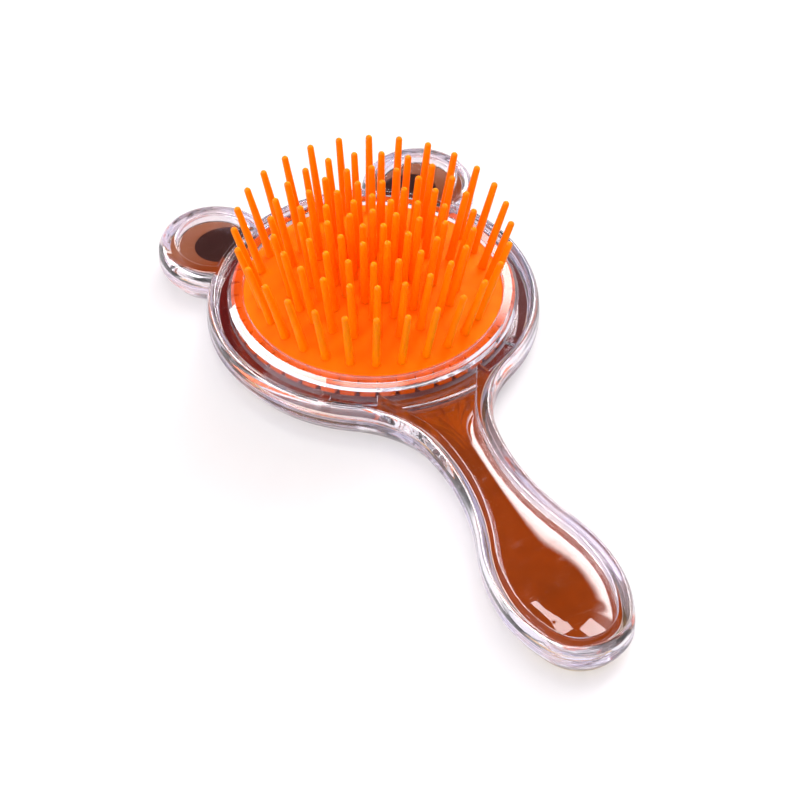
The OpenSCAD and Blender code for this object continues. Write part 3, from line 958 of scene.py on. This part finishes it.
clear = clearPlastic()
finish(smooth(frontShell()), "housing", "clear_plastic", clear, "front_shell")
print("front housing is made")
finish(smooth(backShell()), "housing", "clear_plastic", clear, "back_shell")
print("back housing is made")


# cushion and pins
cushion = {
    "domeR": 91.0, "thick": 1.3, "flangeR": boreR - fitGap, "flangeW": 4.2, "flangeGap": 0.02,
    "notches": 45, "notchW": 1.3, "notchDepth": 1.8, "across": 300, "along": 70,
    "rows": [28, 23, 18, 12, 7, 1], "rowEdge": 3.9, "rowShare": [1, 0.735, 0.529, 0.344, 0.172, 0],
    "rowTurn": [3.5, -1.5, 7, -5.5, 16, 0], "bossR": 2.1, "bossH": 0.1,
    "ventTurn": -119, "ventRing": 1.25, "ventRingW": 0.3, "ventDip": 0.9, "ventH": 0.12,
}
domeLook = {"colour": (1.0, 0.18, 0.0), "deep": (1.0, 0.15, 0.0), "roughness": 0.5,
            "soft": 0.3, "depth": 1.2, "shine": 0.03, "reach": (1.0, 0.35, 0.1)}
# painted shade: the flange is the same rubber as the dome, given a darker colour for the shade it
# lies in under the collar's lip
shadedFlangeLook = {"colour": (0.66, 0.09, 0.0), "deep": (0.56, 0.07, 0.0), "roughness": 0.5,
              "soft": 0.1, "depth": 1.2, "shine": 0.03, "reach": (1.0, 0.35, 0.1)}
pinLook = {"colour": (1.0, 0.245, 0.0), "deep": (1.0, 0.215, 0.0), "roughness": 0.36,
           "soft": 0.6, "depth": 1.2, "shine": 0.06, "reach": (1.0, 0.7, 0.1)}
pinShape = {"length": 19.6, "footR": 1.12, "footTop": 0.45, "shankR": 1.0, "shankFrom": 1.5,
            "tipR": 0.78, "neckR": 0.8, "headR": 1.4, "headT": 0.6, "edge": 0.15, "sides": 16}
domeZ = collarTop + height["crownRise"] - cushion["domeR"]
rowR = [s * (openingR - cushion["rowEdge"]) for s in cushion["rowShare"]]


def pinSpots(row):
    count = cushion["rows"][row]
    for i in range(count):
        yield radians(cushion["rowTurn"][row] + i * 360 / count), rowR[row]


def domeHeight(x, y, drop=0):
    r = cushion["domeR"] - drop
    return domeZ + sqrt(r * r - x * x - y * y)


def cushionDome():
    # fine round grid, raised a little round each pin, with a ring round the vent
    bm = bmesh.new()
    ventR = (rowR[0] + rowR[1]) / 2
    ventTurn = radians(cushion["ventTurn"])
    vent = (ventR * cos(ventTurn), ventR * sin(ventTurn))
    edge = openingR - fitGap
    across = int(cushion["across"] * fine)
    along = int(cushion["along"] * fine)
    cell = 4
    near = {}
    for row in range(len(rowR)):
        for a, r in pinSpots(row):
            s = (r * cos(a), r * sin(a))
            near.setdefault((int(s[0] // cell), int(s[1] // cell)), []).append(s)

    def relief(x, y):
        h = 0
        cx, cy = int(x // cell), int(y // cell)
        for at in [(cx + i, cy + j) for i in (-1, 0, 1) for j in (-1, 0, 1)]:
            for s in near.get(at, ()):
                d = hypot(x - s[0], y - s[1]) / cushion["bossR"]
                if d < 1:
                    h = max(h, cushion["bossH"] * (1 - d * d) ** 2 * (1 + d * d))
        d = hypot(x - vent[0], y - vent[1])
        ring = max(0, 1 - abs(d - cushion["ventRing"]) / cushion["ventRingW"])
        dip = max(0, 1 - d / cushion["ventDip"])
        return h + cushion["ventH"] * ring - cushion["ventH"] * dip

    top, bottom = [], []
    for k in range(along + 1):
        r = edge * k / along
        ring, under = [], []
        for i in range(across if k else 1):
            a = 2 * pi * i / across
            x, y = r * cos(a), r * sin(a)
            ring.append(bm.verts.new(place(x, y, domeHeight(x, y) + relief(x, y))))
            under.append(bm.verts.new(place(x, y, domeHeight(x, y, cushion["thick"]))))
        top.append(ring)
        bottom.append(under)
    for rings in (top, bottom):
        first, middle = rings[1], rings[0][0]
        for i in range(across):
            bm.faces.new((middle, first[i], first[(i + 1) % across]))
        stitch(bm, rings[1:])
    stitch(bm, [top[-1], bottom[-1]])
    return toObject("cushion_dome", bm)


def cushionFlange():
    # flange with pointed notches in its edge, clamped under the collar's lip
    bm = bmesh.new()
    outer = cushion["flangeR"]
    inner = outer - cushion["flangeW"]
    deep = outer - cushion["notchDepth"]
    half = pi / cushion["notches"]
    gap = cushion["notchW"] / 2 / outer
    loop = []
    for i in range(cushion["notches"]):
        middle = 2 * half * i
        loop += [(middle - half + (half - gap) * k / 4, outer) for k in range(5)]
        loop += [(middle, deep)]
        loop += [(middle + gap + (half - gap) * k / 4, outer) for k in range(4)]
    heights = (flangeZ, lipZ - cushion["flangeGap"])
    low, high = [[bm.verts.new(place(r * cos(a), r * sin(a), z)) for a, r in loop] for z in heights]
    lowIn, highIn = [[bm.verts.new(place(inner * cos(a), inner * sin(a), z)) for a, r in loop]
                     for z in heights]
    stitch(bm, [low, high, highIn, lowIn, low])
    return toObject("cushion_flange", bm)


def pinRow(row, name):
    p = pinShape
    low = -cushion["thick"] - seatGap
    roundFrom = p["length"] - p["tipR"]
    profile = rounded([
        (0, low - p["headT"]), (p["headR"], low - p["headT"], p["edge"]),
        (p["headR"], low, p["edge"]), (p["neckR"], low), (p["neckR"], seatGap),
        (p["footR"], seatGap, 0.1), (p["footR"] - 0.02, p["footTop"]),
        (p["shankR"], p["shankFrom"])], 20)
    for k in range(1, 8):
        t = k / 8
        profile.append(Vector((p["shankR"] + (p["tipR"] - p["shankR"]) * t,
                               p["shankFrom"] + (roundFrom - p["shankFrom"]) * t)))
    for a in range(0, 76, 15):
        profile.append(Vector((p["tipR"] * cos(radians(a)),
                               roundFrom + p["tipR"] * sin(radians(a)))))
    profile.append(Vector((0, p["length"])))
    bm = bmesh.new()
    for a, r in pinSpots(row):
        x, y = r * cos(a), r * sin(a)
        tilt = asin(r / cushion["domeR"])
        move = (Matrix.Translation(place(x, y, domeHeight(x, y))) @ Matrix.Rotation(a, 4, "Z")
                @ Matrix.Rotation(tilt, 4, "Y") @ Matrix.Scale(mm, 4))
        one = bmesh.new()
        addRevolved(one, profile, p["sides"], move)
        mesh = bpy.data.meshes.new("pin")
        one.to_mesh(mesh)
        one.free()
        bm.from_mesh(mesh)
        bpy.data.meshes.remove(mesh)
    return toObject(name, bm)


padOrange = orangeRubber("cushion_rubber", domeLook)
pinOrange = orangeRubber("pin_plastic", pinLook)
shadedEdgeOrange = orangeRubber("cushion_edge_shaded", shadedFlangeLook)
dome = smooth(cushionDome(), 50, False)
finish(dome, "housing", "cushion_rubber", padOrange, "cushion_pad")
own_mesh(dome)
finish(smooth(cushionFlange(), 30), "housing", "cushion_rubber", shadedEdgeOrange)
print("cushion is made")
rows = ["outer", "second", "third", "fourth", "inner", "centre"]
for row, word in enumerate(rows):
    body = "middle_pin" if word == "centre" else word + "_pins"
    node = "centre_pin" if word == "centre" else word + "_pin_row"
    finish(smooth(pinRow(row, word + "_pins"), 40, False), body, "pin_plastic", pinOrange, node)
print("pins are made")


# what lies inside, and the mirror
# painted shade: the retainer is a dark red-brown so that the flange's notches above it and the band
# under the collar read as dark as their shade
retainerLook = {"colour": (0.1, 0.012, 0.006), "deep": (0.08, 0.01, 0.005), "roughness": 0.35}
linerLook = {"colour": (0.9, 0.66, 0.28), "deep": (0.86, 0.6, 0.24), "roughness": 0.55}
foamLook = {"colour": (0.86, 0.86, 0.84), "deep": (0.8, 0.8, 0.78), "roughness": 0.7}
cup = {"gap": 0.02, "floor": 1, "edge": 0.2, "corner": 0.4}
mirror = {"bevelW": 0.6, "bevel": 0.3, "silver": 0.06, "silverGap": 0.02, "silverIn": 0.15,
          "edge": 0.1, "tapeIn": 1.5, "tapeGap": 0.01, "tapeEdge": 0.05}


def retainerCup():
    r = cushion["flangeR"]
    inner = r - cushion["flangeW"]
    low, high = plateZ + cup["gap"], flangeZ - cup["gap"]
    floor = plateZ + cup["floor"]
    return revolved("retainer_cup", rounded([
        (0, low), (r, low, cup["edge"]), (r, high), (inner, high, cup["edge"]),
        (inner, floor, cup["corner"]), (0, floor)]))


def mirrorPlate():
    low, high = height["mirrorRecess"], mirrorBack - mirror["silver"] - mirror["silverGap"]
    return revolved("mirror_plate", rounded([
        (0, low), (mirrorR - mirror["bevelW"], low, mirror["edge"]),
        (mirrorR, low + mirror["bevel"], mirror["edge"]), (mirrorR, high), (0, high)]))


def mirrorCoat():
    r, low = mirrorR - mirror["silverIn"], mirrorBack - mirror["silver"]
    return revolved("mirror_coat", [(0, low), (r, low), (r, mirrorBack), (0, mirrorBack)])


def tapeDisc():
    r = mirrorR - mirror["tapeIn"]
    low, high = mirrorBack + mirror["tapeGap"], pocketZ - mirror["tapeGap"]
    return revolved("tape_disc", rounded([
        (0, low), (r, low, mirror["tapeEdge"]), (r, high, mirror["tapeEdge"]), (0, high)]))


cardZ = plateZ - seatGap - height["card"]
linerZ = parting + seatGap
retainer = mouldedPlastic("retainer_plastic", retainerLook)
finish(smooth(retainerCup(), 40), "housing", "retainer_plastic", retainer, "pad_retainer")
card = planSolid("card_print", cardZ, cardZ + height["card"], spaceInset + fitGap)
finish(smooth(card, 30), "housing", "printed_card", printedCard(), "printed_card")
liner = planSolid("liner_sheet", linerZ, linerZ + height["liner"], spaceInset + fitGap)
paper = plainPaper("liner_paper", linerLook)
finish(smooth(liner, 30), "housing", "liner_paper", paper, "back_liner")
finish(smooth(mirrorPlate(), 25), "housing", "mirror", mirrorGlass(), "mirror_glass")
finish(smooth(mirrorCoat(), 25), "housing", "mirror", silverCoat())
foam = plainPaper("foam_tape", foamLook)
finish(smooth(tapeDisc(), 30), "housing", "foam_tape", foam, "mirror_tape")
print("inserts and mirror are made")
